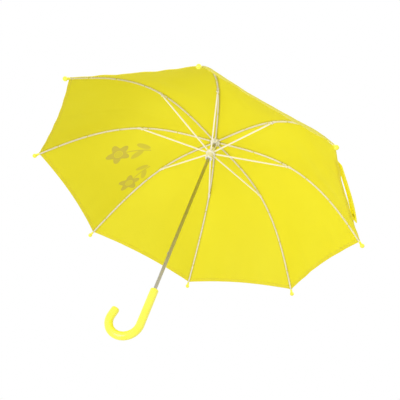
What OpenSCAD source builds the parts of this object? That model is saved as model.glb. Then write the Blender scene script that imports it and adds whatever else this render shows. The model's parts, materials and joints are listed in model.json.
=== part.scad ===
// Children's stick umbrella, open: eight steel ribs on a crown, stretchers on a sliding runner,
// a crook handle, ball tips and a sewn canopy.
// Millimetres, +Z up the shaft. The origin is on the shaft's axis at the handle's top face, and the
// crook opens towards +X.

/* [Shaft] */
// Outside diameter of the shaft tube
shaft_d = 8; // [7:0.5:9]
// Wall of the shaft tube
shaft_wall = 0.65; // [0.5:0.05:0.9]
// Height of the crown's rib pivots above the handle's top face
crown_z = 468; // [462:2:600]
// Depth of the shaft in the handle's socket
socket_depth = 46; // [30:1:60]

/* [Ribs and stretchers] */
// Pivot to pivot length of an inner rib, and of its stretcher
link_len = 188.6; // [150:0.2:192]
// Straight distance from the rib's joint to its ball tip
outer_len = 288; // [230:1:345]
// Radius of the pivot circles in the crown and the runner
hub_r = 9.5; // [9:0.5:12]
// Slope of the inner ribs below the horizontal, open
open_deg = 6.24; // [4:0.02:10]
// Slope of the inner ribs below the horizontal, closed
closed_deg = 87; // [80:0.5:87]
// Slope of the sprung rib where it passes its joint
joint_deg = 18.7; // [14:0.1:24]
// Slope of the straight line from a joint to its ball tip, open
outer_deg = 39.3; // [34:0.1:44]
// Width of the ribs and stretchers, which are U channels
rib_w = 3; // [2.8:0.1:3.6]
// Height of the ribs and stretchers
rib_h = 2.6; // [2.2:0.1:3]
// Sheet thickness of the channels
rib_sheet = 0.7; // [0.5:0.05:0.8]
// Drop of each joint's rivet below the rib's centre line
joint_drop = 3; // [2.8:0.1:3.6]
// Radius of the joint rivets and of the two ring wires
wire_r = 0.7; // [0.6:0.05:0.9]
// Thickness of the flat eyes on the ends of the channels
eye_t = 1.2; // [1:0.1:1.4]

/* [Crown and runner] */
// Radius of the crown and of the runner's slotted ring
ring_r = 12.5; // [12:0.5:15]
// Radius of the runner's upper sleeve
sleeve_r = 7.2; // [6.9:0.1:7.3]
// Radius of the runner's lower grip
grip_r = 8.6; // [8:0.1:10]
// Length of the runner above its pivots
runner_up = 17; // [12:1:18]
// Length of the runner below its pivots
runner_down = 20; // [16:1:22]

/* [Handle and ferrule] */
// Diameter of the handle's rod
handle_d = 19; // [16:0.5:20]
// Length of the handle's straight grip
grip_len = 89; // [75:1:110]
// Radius of the crook's centre line
crook_r = 35.3; // [30:0.1:45]
// Turn of the crook
crook_deg = 191.5; // [180:0.5:205]
// Straight length after the crook, up to its round end
crook_tail = 12; // [5:0.5:20]
// Radius of the ferrule's straight end
ferrule_r = 5; // [4.9:0.1:6.5]
// Length of the ferrule's straight end
ferrule_end = 16; // [10:1:25]
// Length of the ferrule's taper
ferrule_taper = 24; // [15:1:40]

/* [Canopy] */
// Radius of the ball on each tip
ball_r = 5.5; // [4.5:0.1:6.5]
// Length of each tip's sleeve, from the ball's centre
tip_sleeve = 12; // [10:0.5:18]
// Thickness of the canopy's cloth solid
cloth_t = 0.6; // [0.4:0.1:1]
// Inward sag of each hem between two tips
hem_sag = 9; // [0:0.5:25]
// Radius of the rosette that covers the canopy's centre
rosette_r = 17; // [15:0.5:24]
// Length of the tie strap
strap_len = 190; // [120:5:230]
// Width of the tie strap
strap_w = 28; // [18:1:34]

/* [Catches] */
// Length of each catch, pivot to nose
catch_len = 40; // [36:1:46]
// Reach of a catch's nose past the shaft
catch_out = 1.8; // [1.2:0.1:1.9]

/* [Hidden] */
RIBS = 8;
STEP = 360 / RIBS;
HALF = STEP / 2;
// Azimuth of the first rib from the plane of the crook.
FIRST = 8.6;
// The catches work in the plane midway between two ribs.
CATCH_AZ = FIRST + HALF;
// The tie strap lies outside the hem between ribs 3 and 4.
STRAP_AZ = FIRST + 3.5 * STEP;

FIT = 0.05;
RUN = 0.08;
SIDE_GAP = 0.15;
SLOT_GAP = 0.3;
RUNNER_GAP = 0.1;
CLOTH_GAP = 1;
NEIGHBOUR_GAP = 0.4;
// Overlap of pieces that are one solid.
JOIN = 0.02;
ENDS = 6;
FINE = 64;
SMALL = 32;

shaft_r = shaft_d / 2;
tube_r = shaft_r - shaft_wall;
handle_r = handle_d / 2;
eye_r = wire_r + 1.2;
hole_r = wire_r + RUN;
ear_in = eye_t / 2 + SIDE_GAP;
ear_r = wire_r + 1.6;
plate_in = rib_w / 2 + SIDE_GAP;
plate_out = plate_in + rib_sheet;
slot_in = hub_r - eye_r - SLOT_GAP;
slot_w = eye_t + 2 * SLOT_GAP;

// A point x along and y above a line that leaves p at a downward slope.
function sloped(p, deg, x, y) = p + x * [cos(deg), -sin(deg)] + y * [sin(deg), cos(deg)];

crown_p = [hub_r, crown_z];
runner_z = crown_z - 2 * link_len * sin(open_deg);
runner_p = [hub_r, runner_z];
joint_p = sloped(crown_p, open_deg, link_len, 0);
over_joint = sloped(joint_p, open_deg, 0, joint_drop);
closed_runner_z = crown_z - 2 * link_len * sin(closed_deg);

// A sprung rib bends most at its joint and not at all at its ends, so each part is a cubic.
bend_in = (link_len * tan(joint_deg - open_deg) + joint_drop) / 2;
bend_out = outer_len / 2 * tan(outer_deg - joint_deg);

function inner_turn(u) = atan((joint_drop + bend_in * (1 - 3 * u * u)) / link_len);
function inner_rise(u) = joint_drop * u + bend_in * (u - u * u * u);
function inner_at(u, off = 0) =
    sloped(crown_p, open_deg, link_len * u - off * sin(inner_turn(u)),
        inner_rise(u) + off * cos(inner_turn(u)));

function outer_turn(u) = atan(bend_out * (3 * (1 - u) * (1 - u) - 1) / outer_len);
function outer_rise(u) = bend_out * ((1 - u) - (1 - u) * (1 - u) * (1 - u));
function outer_at(u, off = 0) =
    sloped(over_joint, outer_deg, outer_len * u - off * sin(outer_turn(u)),
        outer_rise(u) + off * cos(outer_turn(u)));

tip_deg = outer_deg - outer_turn(1);
tip_p = outer_at(1);

// Outlines of a rib between two lengths along it, from lo to hi across its height.
function inner_strip(a, b, lo, hi, n) = concat(
    [for (i = [0:n]) inner_at((a + (b - a) * i / n) / link_len, hi)],
    [for (i = [n:-1:0]) inner_at((a + (b - a) * i / n) / link_len, lo)]);
function outer_strip(a, b, lo, hi, n) = concat(
    [for (i = [0:n]) outer_at((a + (b - a) * i / n) / outer_len, hi)],
    [for (i = [n:-1:0]) outer_at((a + (b - a) * i / n) / outer_len, lo)]);

// Ends of the channels, clear of the crown, the runner and the neighbouring channel.
inner_end = link_len - 2.8;
outer_start = 2.4;
outer_end = outer_len - ball_r + 1;

// Bore and neck of the tips' sleeves, round the ribs' corners.
tip_bore_r = norm([rib_w, rib_h]) / 2 + FIT;
tip_neck_r = tip_bore_r + 0.7;

// The low catch's nose stands inside the closed runner, and the top one's just below the open runner.
low_anchor = closed_runner_z + catch_len + 5.7;
top_anchor = runner_z - runner_down - 1 - catch_len;
catch_foot = catch_len - 15;
catch_slot_w = eye_t + 2 * SLOT_GAP;
shaft_top = crown_z + 14;

// Half heights of the hubs. The eyes stop short of the web that closes one side of each slot.
crown_up = 3.2;
crown_down = 4;
ring_half = 3.2;
web_z = eye_r + SLOT_GAP;

// The cloth lies this far above the ribs' centre lines, on its two faces.
cloth_in = rib_h / 2 + CLOTH_GAP;
cloth_out = cloth_in + cloth_t;
cloth_start = 4.2;
cloth_corner = tip_sleeve + 0.6;
COLS = 7;
INNER_ROWS = 8;
OUTER_ROWS = 13;

// The cap over the cloth, the ferrule's foot on it, and the strap and how far it stands past the hem.
cap_z = crown_z + cloth_out + 1.2;
cap_t = 1.2;
ferrule_base_r = rosette_r - 6;
strap_t = 1.5;
strap_past = 9;

// Extrudes a shape of the rib's upright plane, centred on that plane.
module in_plane(w) {
    rotate([90, 0, 0])
        linear_extrude(height = w, center = true)
            children();
}

// The same as two plates, from a to b on each side of the plane.
module two_plates(a, b) {
    for (side = [-1, 1])
        translate([0, side * (a + b) / 2, 0])
            in_plane(b - a)
                children();
}

// A round bar or hole across the rib's plane.
module across(p, r, w) {
    translate([p.x, 0, p.y])
        rotate([90, 0, 0])
            cylinder(r = r, h = w, center = true, $fn = SMALL);
}

module rib(k) {
    color("ivory")
        rotate([0, 0, FIRST + k * STEP])
            difference() {
                union() {
                    difference() {
                        in_plane(rib_w)
                            polygon(inner_strip(ENDS, inner_end, -rib_h / 2, rib_h / 2, 12));
                        in_plane(rib_w - 2 * rib_sheet)
                            polygon(inner_strip(ENDS - 1, inner_end + 1, -rib_h, rib_h / 2 - rib_sheet, 12));
                    }
                    in_plane(eye_t)
                        polygon(inner_strip(0, 2 * ENDS, -rib_h / 2, rib_h / 2, 2));
                    across(crown_p, eye_r, eye_t);
                    two_plates(ear_in, rib_w / 2) {
                        polygon([joint_p + [ear_r, 0], inner_at(inner_end / link_len, 0.5),
                            inner_at(1 - 12 / link_len, 0), joint_p - [ear_r, 0]]);
                        translate(joint_p)
                            circle(r = ear_r, $fn = SMALL);
                    }
                    joint_rivet();
                }
                across(crown_p, hole_r, 2 * eye_t);
            }
}

// The rivet is closed over the outer rib's plates, and the stretcher's eye turns on its middle.
module joint_rivet() {
    across(joint_p, wire_r, 2 * plate_out + 2 * SIDE_GAP);
    for (side = [-1, 1])
        translate([0, side * (plate_out + SIDE_GAP + rib_sheet / 2), 0])
            across(joint_p, wire_r + 0.8, rib_sheet);
}

module rib_outer(k) {
    color("ivory")
        rotate([0, 0, FIRST + k * STEP])
            difference() {
                union() {
                    difference() {
                        in_plane(rib_w)
                            polygon(outer_strip(outer_start, outer_end, -rib_h / 2, rib_h / 2, 16));
                        in_plane(rib_w - 2 * rib_sheet)
                            polygon(outer_strip(outer_start - 1, outer_end + 1, -rib_h, rib_h / 2 - rib_sheet, 16));
                    }
                    two_plates(rib_w / 2 - rib_sheet / 2, plate_out)
                        polygon(outer_strip(4, 12, -rib_h / 2, rib_h / 2, 2));
                    two_plates(plate_in, plate_out) {
                        polygon([joint_p - [ear_r, 0], outer_at(3 / outer_len, rib_h / 2),
                            outer_at(8 / outer_len, rib_h / 2), outer_at(8 / outer_len, -rib_h / 2),
                            joint_p + [ear_r, -0.5]]);
                        translate(joint_p)
                            circle(r = ear_r, $fn = SMALL);
                    }
                }
                across(joint_p, hole_r, 4 * plate_out);
            }
}

module stretcher(k) {
    color("ivory")
        rotate([0, 0, FIRST + k * STEP])
            difference() {
                union() {
                    difference() {
                        in_plane(rib_w)
                            stretcher_strip(ENDS, link_len - ENDS, -rib_h / 2, rib_h / 2);
                        in_plane(rib_w - 2 * rib_sheet)
                            stretcher_strip(ENDS - 1, link_len - ENDS + 1, rib_sheet - rib_h / 2, rib_h);
                    }
                    in_plane(eye_t) {
                        stretcher_strip(0, 2 * ENDS, -rib_h / 2, rib_h / 2);
                        stretcher_strip(link_len - 2 * ENDS, link_len, -rib_h / 2, rib_h / 2);
                    }
                    across(runner_p, eye_r, eye_t);
                    across(joint_p, eye_r, eye_t);
                }
                across(runner_p, hole_r, 2 * eye_t);
                across(joint_p, hole_r, 2 * eye_t);
            }
}

// Outline of a stretcher between two lengths along it, from lo to hi across its height.
module stretcher_strip(a, b, lo, hi) {
    polygon([for (c = [[a, lo], [b, lo], [b, hi], [a, hi]]) sloped(runner_p, -open_deg, c.x, c.y)]);
}

// A ball with a sleeve that the rib's end is pushed into.
module tip(k) {
    color("gold")
        rotate([0, 0, FIRST + k * STEP])
            translate([tip_p.x, 0, tip_p.y])
                rotate([0, tip_deg - 90, 0])
                    difference() {
                        union() {
                            sphere(r = ball_r, $fn = FINE);
                            cylinder(r1 = tip_neck_r + 0.8, r2 = tip_neck_r, h = tip_sleeve, $fn = FINE);
                        }
                        translate([0, 0, ball_r - 1.4])
                            cylinder(r = tip_bore_r, h = tip_sleeve, $fn = FINE);
                    }
}

module shaft_tube() {
    color("darkgray")
        difference() {
            union() {
                difference() {
                    translate([0, 0, -socket_depth])
                        cylinder(r = shaft_r, h = shaft_top + socket_depth, $fn = FINE);
                    translate([0, 0, -socket_depth - 1])
                        cylinder(r = tube_r, h = shaft_top + socket_depth + 2, $fn = FINE);
                }
                catch_pin(top_anchor);
                catch_pin(low_anchor);
            }
            catch_slot(top_anchor, 1);
            catch_slot(low_anchor, -1);
        }
}

// A rivet across the tube, flush with its outside, that a catch turns on.
module catch_pin(z) {
    rotate([0, 0, CATCH_AZ])
        intersection() {
            across([0, z], wire_r, shaft_d);
            translate([0, 0, z - shaft_r])
                cylinder(r = shaft_r - 0.01, h = shaft_d, $fn = FINE);
        }
}

// The window in the tube that a catch's nose comes out of.
module catch_slot(z, way) {
    rotate([0, 0, CATCH_AZ])
        translate([0, -catch_slot_w / 2, way > 0 ? z + catch_foot : z - catch_len - 1.5])
            cube([shaft_d, catch_slot_w, catch_len + 1.5 - catch_foot]);
}

// A leaf that turns on its rivet, with a nose that is ramped on the side the runner comes from.
module catch_leaf(z, way) {
    color("silver")
        rotate([0, 0, CATCH_AZ])
            difference() {
                union() {
                    in_plane(eye_t)
                        translate([0, z])
                            scale([1, way])
                                polygon([[-0.8, 0], [0.8, 0], [tube_r - 0.9, catch_foot],
                                    [shaft_r + catch_out, catch_len - 2], [shaft_r + catch_out, catch_len],
                                    [1.4, catch_len], [0.9, catch_foot]]);
                    across([0, z], eye_r, eye_t);
                }
                across([0, z], hole_r, 2 * eye_t);
            }
}

module top_catch() { catch_leaf(top_anchor, 1); }
module bottom_catch() { catch_leaf(low_anchor, -1); }

module crook_handle() {
    color("yellow")
        difference() {
            union() {
                translate([0, 0, -grip_len - JOIN])
                    cylinder(r = handle_r, h = grip_len + JOIN, $fn = FINE);
                translate([crook_r, 0, -grip_len])
                    rotate([90, 0, 0])
                        rotate([0, 0, 180]) {
                            rotate_extrude(angle = crook_deg, $fn = 2 * FINE)
                                translate([crook_r, 0])
                                    circle(r = handle_r, $fn = FINE);
                            rotate([0, 0, crook_deg])
                                translate([crook_r, 0, 0])
                                    rotate([-90, 0, 0]) {
                                        translate([0, 0, -JOIN])
                                            cylinder(r = handle_r, h = crook_tail + JOIN, $fn = FINE);
                                        translate([0, 0, crook_tail])
                                            sphere(r = handle_r, $fn = FINE);
                                    }
                        }
            }
            translate([0, 0, -socket_depth - 0.5])
                cylinder(r = shaft_r + FIT, h = socket_depth + 1, $fn = FINE);
        }
}

// Slots for the eyes of eight channels, from z = lo to hi.
module eye_slots(lo, hi) {
    for (k = [0:RIBS - 1])
        rotate([0, 0, FIRST + k * STEP])
            translate([slot_in, -slot_w / 2, lo])
                cube([ring_r, slot_w, hi - lo]);
}

// The ring wire that the eyes turn on, or its groove.
module ring_wire(z, r) {
    translate([0, 0, z])
        rotate_extrude($fn = FINE)
            translate([hub_r, 0])
                circle(r = r, $fn = SMALL);
}

module crown() {
    color("ivory")
        difference() {
            rotate_extrude($fn = FINE)
                polygon([[shaft_r + FIT, crown_z - crown_down - 3], [slot_in - 0.2, crown_z - crown_down - 3],
                    [slot_in - 0.2, crown_z - crown_down], [ring_r - 0.8, crown_z - crown_down],
                    [ring_r, crown_z - crown_down + 0.8], [ring_r, crown_z + crown_up - 0.8],
                    [ring_r - 0.8, crown_z + crown_up], [shaft_r + FIT, crown_z + crown_up]]);
            eye_slots(crown_z - crown_down - 1, crown_z + web_z);
            ring_wire(crown_z, wire_r + FIT);
        }
}

module crown_wire() { color("silver") ring_wire(crown_z, wire_r); }

module runner_sleeve() {
    color("ivory")
        difference() {
            rotate_extrude($fn = FINE)
                polygon([[shaft_r + RUNNER_GAP, runner_z - runner_down], [grip_r + 0.2, runner_z - runner_down],
                    [grip_r + 1, runner_z - runner_down + 1], [grip_r + 1, runner_z - runner_down + 3],
                    [grip_r, runner_z - runner_down + 5], [grip_r, runner_z - ring_half - 1],
                    [ring_r - 0.8, runner_z - ring_half], [ring_r, runner_z - ring_half + 0.8],
                    [ring_r, runner_z + ring_half - 0.8], [ring_r - 0.8, runner_z + ring_half],
                    [sleeve_r, runner_z + ring_half], [sleeve_r, runner_z + runner_up - 1],
                    [sleeve_r - 1, runner_z + runner_up], [shaft_r + RUNNER_GAP, runner_z + runner_up]]);
            eye_slots(runner_z - web_z, runner_z + ring_half + 1);
            ring_wire(runner_z, wire_r + FIT);
            rotate([0, 0, CATCH_AZ])
                translate([0, -catch_slot_w / 2, runner_z - runner_down - 1])
                    cube([shaft_r + catch_out + SLOT_GAP, catch_slot_w, runner_down + runner_up + 2]);
        }
}

module runner_wire() { color("silver") ring_wire(runner_z, wire_r); }

module canopy_cap() {
    color("yellow")
        rotate_extrude($fn = FINE)
            polygon([[shaft_r + FIT, cap_z], [rosette_r, cap_z], [rosette_r, cap_z + 0.5],
                [rosette_r - 3, cap_z + cap_t], [shaft_r + FIT, cap_z + cap_t]]);
}

module ferrule() {
    base = cap_z + cap_t;
    shoulder = base + 4;
    color("yellow")
        difference() {
            union() {
                rotate_extrude($fn = FINE)
                    polygon([[0, base], [ferrule_base_r, base], [ferrule_base_r, base + 2],
                        [ferrule_base_r - 2.5, shoulder], [ferrule_r, shoulder + ferrule_taper],
                        [0, shoulder + ferrule_taper]]);
                translate([0, 0, shoulder + ferrule_taper])
                    cylinder(r = ferrule_r, h = ferrule_end, $fn = FINE);
                translate([0, 0, shoulder + ferrule_taper + ferrule_end])
                    intersection() {
                        sphere(r = ferrule_r, $fn = FINE);
                        translate([0, 0, ferrule_r / 2])
                            cube([2 * ferrule_r, 2 * ferrule_r, ferrule_r], center = true);
                    }
            }
            translate([0, 0, base - 1])
                cylinder(r = shaft_r + FIT, h = shaft_top - base + 1.5, $fn = FINE);
        }
}

// A point of the cloth that is tied to rib k, from its curve point c and an azimuth off the rib. The
// cloth runs straight from one rib to the next.
function cloth_point(c, phi) =
    let (rho = c.x * cos(HALF) / cos(HALF - abs(phi)))
    [rho * cos(phi), rho * sin(phi), c.y];

// The widest azimuth off the rib, short of the neighbouring piece's edge.
function cloth_edge(c) = HALF - asin(NEIGHBOUR_GAP / 2 / c.x);

// How far the hem stands back at a share of the way to the middle of the gore.
function hem_back(share) = hem_sag * (1 - (1 - share) * (1 - share));

// The share from -1 to 1 across a piece of cloth for a column of points.
function share_of(j) = 2 * j / (COLS - 1) - 1;

// A closed shell between two layers of points, both of rows by cols.
module shell(outer, inner, rows, cols) {
    count = rows * cols;
    function at(layer, i, j) = layer * count + i * cols + j;
    faces = concat(
        [for (i = [0:rows - 2], j = [0:cols - 2]) each [
            [at(0, i, j), at(0, i + 1, j), at(0, i + 1, j + 1)],
            [at(0, i, j), at(0, i + 1, j + 1), at(0, i, j + 1)],
            [at(1, i, j), at(1, i + 1, j + 1), at(1, i + 1, j)],
            [at(1, i, j), at(1, i, j + 1), at(1, i + 1, j + 1)]]],
        [for (i = [0:rows - 2]) each [
            [at(0, i, 0), at(1, i, 0), at(1, i + 1, 0)],
            [at(0, i, 0), at(1, i + 1, 0), at(0, i + 1, 0)],
            [at(0, i, cols - 1), at(1, i + 1, cols - 1), at(1, i, cols - 1)],
            [at(0, i, cols - 1), at(0, i + 1, cols - 1), at(1, i + 1, cols - 1)]]],
        [for (j = [0:cols - 2]) each [
            [at(0, 0, j), at(0, 0, j + 1), at(1, 0, j + 1)],
            [at(0, 0, j), at(1, 0, j + 1), at(1, 0, j)],
            [at(0, rows - 1, j), at(1, rows - 1, j + 1), at(0, rows - 1, j + 1)],
            [at(0, rows - 1, j), at(1, rows - 1, j), at(1, rows - 1, j + 1)]]]);
    polyhedron(points = concat(outer, inner), faces = faces, convexity = 4);
}

// Inner cloth, from under the rosette to the joints.
module canopy_inner(k) {
    function layer(off) = [for (i = [0:INNER_ROWS - 1], j = [0:COLS - 1])
        let (u = (cloth_start + (link_len - NEIGHBOUR_GAP / 2 - cloth_start) * i / (INNER_ROWS - 1)) / link_len,
            c = inner_at(u, off))
        cloth_point(c, share_of(j) * cloth_edge(c))];
    color("khaki")
        rotate([0, 0, FIRST + k * STEP])
            shell(layer(cloth_out), layer(cloth_in), INNER_ROWS, COLS);
}

// Outer cloth, from the joints to the hem, whose corners reach the tips' sleeves.
module canopy_outer(k) {
    function layer(off) = [for (i = [0:OUTER_ROWS - 1], j = [0:COLS - 1])
        let (start = NEIGHBOUR_GAP / 2,
            end = outer_len - cloth_corner - hem_back(abs(share_of(j))),
            c = outer_at((start + (end - start) * i / (OUTER_ROWS - 1)) / outer_len, off))
        cloth_point(c, share_of(j) * cloth_edge(c))];
    color("khaki")
        rotate([0, 0, FIRST + k * STEP])
            shell(layer(cloth_out), layer(cloth_in), OUTER_ROWS, COLS);
}

// A flat strap that is sewn outside the hem.
module tie_strap() {
    u = 1 - (cloth_corner + hem_sag) / outer_len;
    c = outer_at(u, cloth_out + 2);
    slope = atan(tan(outer_deg - outer_turn(u)) / cos(HALF));
    color("khaki")
        rotate([0, 0, STRAP_AZ])
            translate([c.x * cos(HALF), 0, c.y])
                rotate([0, slope, 0])
                    translate([strap_past - strap_w / 2, 0, strap_t / 2])
                        cube([strap_w, strap_len, strap_t], center = true);
}

shaft_tube();
crook_handle();
crown();
crown_wire();
canopy_cap();
ferrule();
runner_sleeve();
runner_wire();
top_catch();
bottom_catch();
tie_strap();
for (k = [0:RIBS - 1]) {
    rib(k);
    rib_outer(k);
    stretcher(k);
    tip(k);
    canopy_inner(k);
    canopy_outer(k);
}
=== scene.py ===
"""Looks of the children's umbrella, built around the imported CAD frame.

Every size is in metres in the row frame: the origin is on the shaft's axis at the handle's top face, +Z
runs up the shaft and the crook opens towards +X.
"""

from __future__ import annotations

import json
import logging
import math
from dataclasses import dataclass, field
from enum import Enum
from typing import Any, Callable, Sequence

import bpy
from mathutils import Matrix, Vector

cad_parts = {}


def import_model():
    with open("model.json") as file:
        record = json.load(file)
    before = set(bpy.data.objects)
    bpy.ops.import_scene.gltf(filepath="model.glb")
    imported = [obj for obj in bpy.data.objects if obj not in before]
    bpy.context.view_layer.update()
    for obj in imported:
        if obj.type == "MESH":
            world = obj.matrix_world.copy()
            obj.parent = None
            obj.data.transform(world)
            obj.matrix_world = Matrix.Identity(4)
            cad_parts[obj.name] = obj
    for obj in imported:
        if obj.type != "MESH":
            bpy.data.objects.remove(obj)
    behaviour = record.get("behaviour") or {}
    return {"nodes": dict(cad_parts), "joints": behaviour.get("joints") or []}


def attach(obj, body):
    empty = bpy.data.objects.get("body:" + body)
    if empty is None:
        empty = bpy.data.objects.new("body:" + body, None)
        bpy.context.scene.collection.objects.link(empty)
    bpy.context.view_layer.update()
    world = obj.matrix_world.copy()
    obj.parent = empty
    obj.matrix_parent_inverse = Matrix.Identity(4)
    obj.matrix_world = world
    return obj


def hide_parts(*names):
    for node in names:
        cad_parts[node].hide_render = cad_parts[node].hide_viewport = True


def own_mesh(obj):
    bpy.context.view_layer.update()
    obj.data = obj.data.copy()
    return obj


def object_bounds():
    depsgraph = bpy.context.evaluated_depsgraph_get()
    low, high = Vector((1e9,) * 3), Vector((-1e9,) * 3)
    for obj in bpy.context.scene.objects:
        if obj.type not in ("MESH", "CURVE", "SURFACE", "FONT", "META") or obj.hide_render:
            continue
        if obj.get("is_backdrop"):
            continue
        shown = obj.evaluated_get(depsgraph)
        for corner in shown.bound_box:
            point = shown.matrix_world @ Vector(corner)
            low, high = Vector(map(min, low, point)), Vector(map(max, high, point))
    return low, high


log = logging.getLogger("umbrella")

RIBS = 8
STEP = math.tau / RIBS
HALF = STEP / 2
MM = 0.001
SHARP = math.radians(50)
UP = Vector((0.0, 0.0, 1.0))


class Slot(Enum):
    """The record's material slots."""

    SHAFT = "shaft_steel"
    HANDLE = "handle_plastic"
    WHITE = "white_plastic"
    WIRE = "ring_wire"
    YELLOW = "yellow_plastic"
    STRAP = "strap_webbing"
    RIB = "rib_paint"
    CLOTH = "canopy_cloth"


# ---------------------------------------------------------------------------------------------------
# Shader maths
# ---------------------------------------------------------------------------------------------------


class Sock:
    """A node socket that takes part in Python arithmetic."""

    def __init__(self, shader: Shader, socket: bpy.types.NodeSocket) -> None:
        """Wraps one output socket of a shader's node."""
        self.shader = shader
        self.socket = socket

    def math(self, operation: str, *others: Any) -> Sock:
        """The result of a Math node on this value and the others."""
        return self.shader.node("ShaderNodeMath", {"operation": operation}, self, *others)

    def __add__(self, other: Any) -> Sock:
        """Sum."""
        return self.math("ADD", other)

    __radd__ = __add__

    def __sub__(self, other: Any) -> Sock:
        """Difference."""
        return self.math("SUBTRACT", other)

    def __rsub__(self, other: Any) -> Sock:
        """Reflected difference."""
        return self.shader.node("ShaderNodeMath", {"operation": "SUBTRACT"}, other, self)

    def __mul__(self, other: Any) -> Sock:
        """Product."""
        return self.math("MULTIPLY", other)

    __rmul__ = __mul__

    def __truediv__(self, other: Any) -> Sock:
        """Quotient."""
        return self.math("DIVIDE", other)

    def __abs__(self) -> Sock:
        """Size without sign."""
        return self.math("ABSOLUTE")

    def __lt__(self, other: Any) -> Sock:
        """1 where this is below the other."""
        return self.math("LESS_THAN", other)

    def __gt__(self, other: Any) -> Sock:
        """1 where this is above the other."""
        return self.math("GREATER_THAN", other)

    def ramp(self, low: float, high: float) -> Sock:
        """Rises smoothly from 0 at low to 1 at high."""
        settings = {"interpolation_type": "SMOOTHSTEP"}
        return self.shader.node("ShaderNodeMapRange", settings, self, low, high, 0.0, 1.0)


class Shader:
    """A material whose nodes are built by calls."""

    def __init__(self, name: str) -> None:
        """Makes a material with only its output node.

        Args:
            name: the material's name.
        """
        self.material = bpy.data.materials.new(name)
        self.material.use_nodes = True
        self.tree = self.material.node_tree
        self.tree.nodes.clear()
        self.output = self.tree.nodes.new("ShaderNodeOutputMaterial")

    def node(self, kind: str, settings: dict[str, Any], *values: Any, out: int | str = 0) -> Sock:
        """Adds a node, sets it, then feeds its inputs in order.

        Args:
            kind: the node's type.
            settings: what to set on the node before its inputs; "stops" fills a ramp.
            values: a number, a colour, a Sock or None for each input in order, or one dict by name.
            out: the output to return.

        Returns:
            The chosen output.
        """
        made = self.tree.nodes.new(kind)
        for key, value in settings.items():
            if key == "stops":
                self._fill_ramp(made.color_ramp, value)
            else:
                setattr(made, key, value)
        if len(values) == 1 and isinstance(values[0], dict):
            pairs = [(made.inputs[key], value) for key, value in values[0].items()]
        else:
            pairs = list(zip([s for s in made.inputs if s.enabled], values))
        for socket, value in pairs:
            if isinstance(value, Sock):
                self.tree.links.new(value.socket, socket)
            elif value is not None:
                socket.default_value = value
        if isinstance(out, str):
            return Sock(self, made.outputs[out])
        return Sock(self, [s for s in made.outputs if s.enabled][out])

    @staticmethod
    def _fill_ramp(ramp: Any, stops: Sequence[tuple[float, tuple[float, ...]]]) -> None:
        """Sets a colour ramp's stops.

        Args:
            ramp: the node's ramp.
            stops: places and colours, at least two.
        """
        while len(ramp.elements) < len(stops):
            ramp.elements.new(0.5)
        for element, (place, colour) in zip(ramp.elements, stops):
            element.position = place
            element.color = (*colour[:3], 1.0)

    def place(self) -> Sock:
        """Object coordinates."""
        return self.node("ShaderNodeTexCoord", {}, out="Object")

    def uv(self, name: str) -> Sock:
        """The vector of a named UV map."""
        return self.node("ShaderNodeUVMap", {"uv_map": name}, out="UV")

    def xyz(self, vector: Sock) -> tuple[Sock, Sock, Sock]:
        """Splits a vector.

        Args:
            vector: the vector.

        Returns:
            Its three parts.
        """
        split = self.node("ShaderNodeSeparateXYZ", {}, vector)
        outputs = split.socket.node.outputs
        return Sock(self, outputs[0]), Sock(self, outputs[1]), Sock(self, outputs[2])

    def noise(self, vector: Sock, scale: float, detail: float = 2.0) -> Sock:
        """Noise from 0 to 1, with scale features per metre and detail octaves."""
        values = {"Vector": vector, "Scale": scale, "Detail": detail}
        return self.node("ShaderNodeTexNoise", {}, values, out=0)

    def weave(self, across: Sock, along: Sock, rate: float) -> Sock:
        """Crossing threads as a height from 0 to 1, with rate in radians per metre."""
        warp, weft = ((way * rate).math("SINE") for way in (across, along))
        return warp * weft * 0.5 + 0.5

    def mix(self, factor: Any, first: Any, second: Any) -> Sock:
        """Mixes two colours, with the factor as the share of the second."""
        return self.node("ShaderNodeMix", {"data_type": "RGBA"}, factor, rgba(first), rgba(second))

    def bump(self, height: Sock, distance: float, strength: float = 1.0) -> Sock:
        """A normal bumped by a height from 0 to 1, which is distance metres high."""
        values = {"Height": height, "Distance": distance, "Strength": strength}
        return self.node("ShaderNodeBump", {}, values)

    def principled(self, **values: Any) -> Sock:
        """A Principled BSDF, with spaces for underscores in its sockets' names."""
        named = {key.replace("_", " "): rgba(value) for key, value in values.items()}
        return self.node("ShaderNodeBsdfPrincipled", {}, named)

    def finish(self, surface: Sock) -> bpy.types.Material:
        """Links the finished shader to the output and returns the material."""
        self.tree.links.new(surface.socket, self.output.inputs["Surface"])
        return self.material


def rgba(value: Any) -> Any:
    """Gives a colour of three numbers its alpha, and leaves anything else alone.

    Args:
        value: a colour, a number or a Sock.

    Returns:
        The value, or the colour with four numbers.
    """
    if isinstance(value, tuple) and len(value) == 3:
        return (*value, 1.0)
    return value


# ---------------------------------------------------------------------------------------------------
# Finishes
# ---------------------------------------------------------------------------------------------------

Colour = tuple[float, float, float]


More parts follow.
